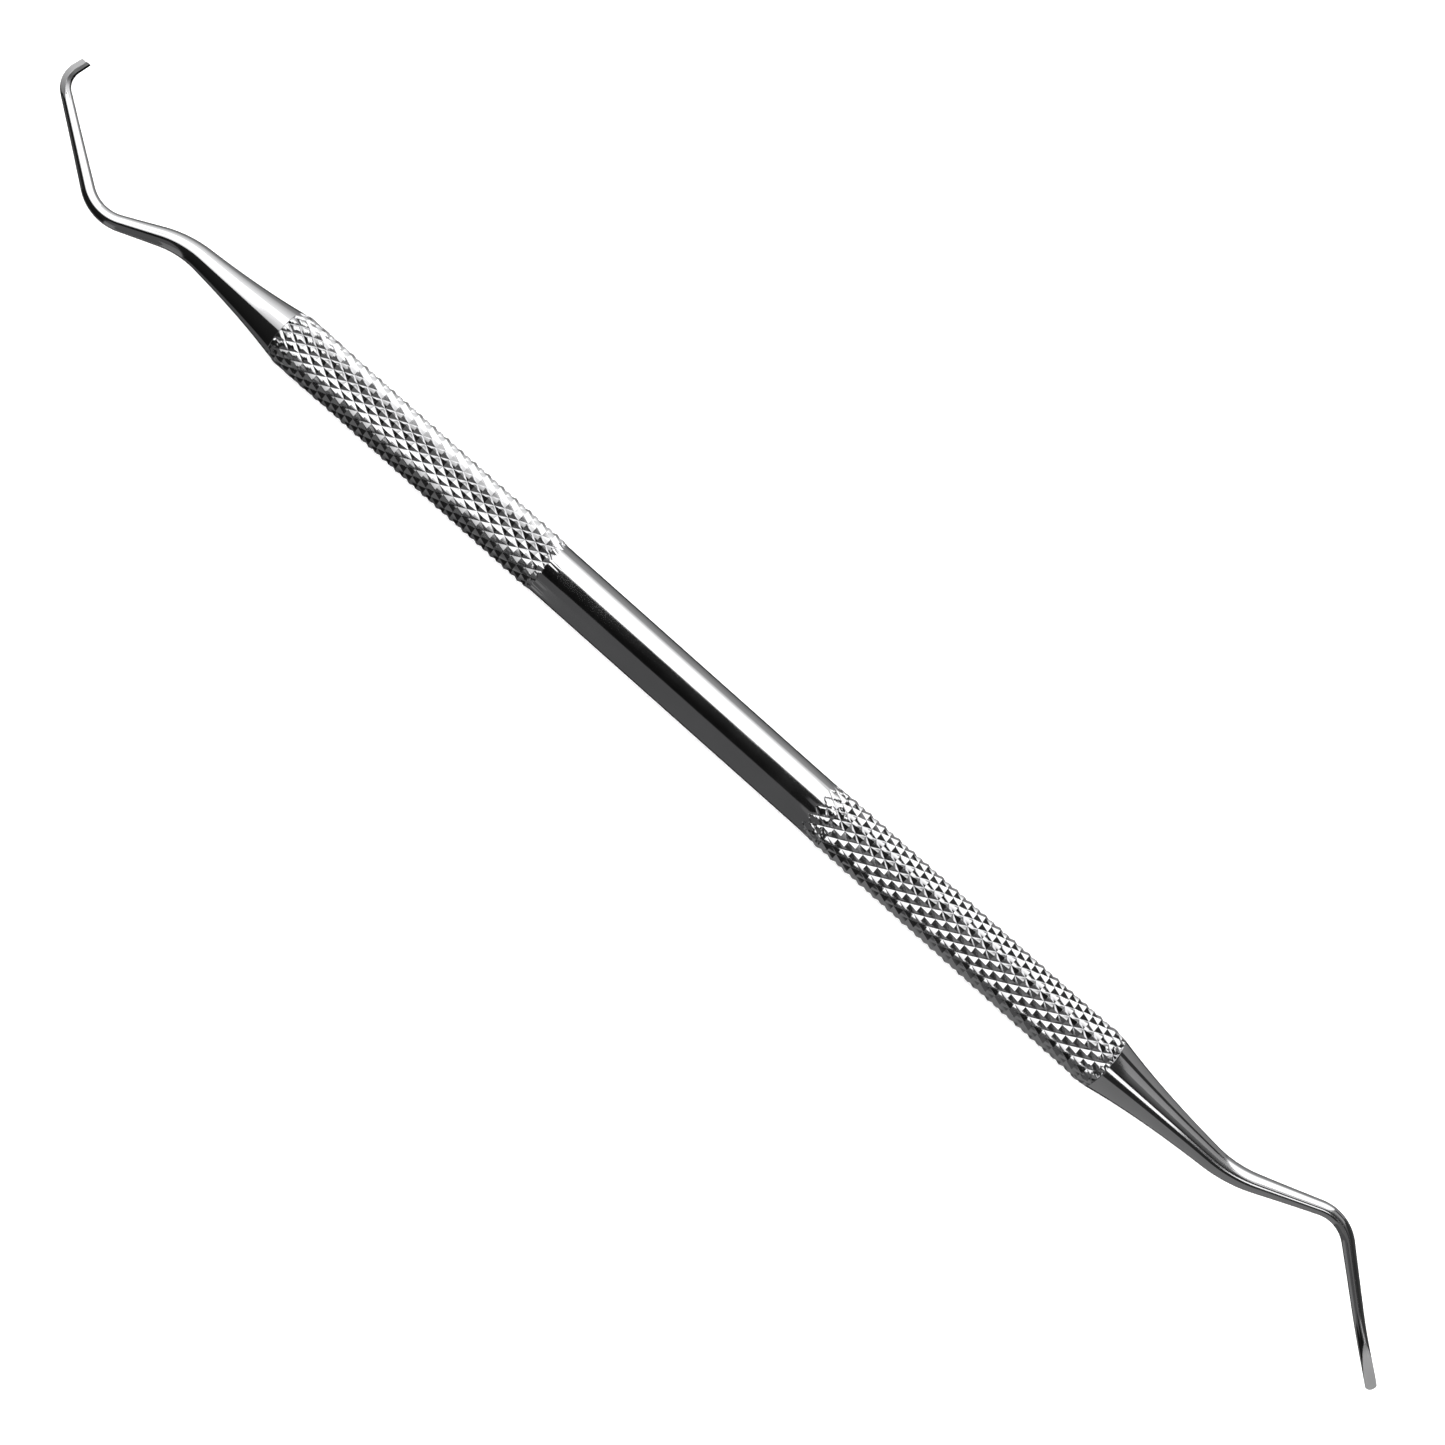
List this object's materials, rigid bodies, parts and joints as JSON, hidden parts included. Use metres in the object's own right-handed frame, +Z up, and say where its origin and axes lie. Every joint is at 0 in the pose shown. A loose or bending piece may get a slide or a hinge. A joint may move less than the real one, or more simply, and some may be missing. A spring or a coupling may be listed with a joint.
{
  "type": "dental hand scaler",
  "caption": "Double-ended steel hand scaler: slim knurled handle with a plain middle, a hoe blade on one bent shank and a flat chisel-like blade on the other.",
  "frame": {"origin": "on the handle's axis, in the middle of its plain section", "axes": "+X along the handle's axis from working end A (the hoe) to working end B (the chisel); +Y in the plane that both shanks are bent in, towards the side that the hoe blade turns to; +Z up, square to that plane, towards the side that blade B leans to"},
  "size_m": [0.1774, 0.0135, 0.0062],
  "materials": {
    "handle_steel": "bright polished stainless steel, with rolled diamond knurl bands",
    "working_end_steel": "bright polished stainless steel, with satin ground faces on the blades"
  },
  "bodies": {
    "root": {"handle": "handle_steel", "working_end_a": "working_end_steel", "working_end_b": "working_end_steel"}
  },
  "joints": []
}
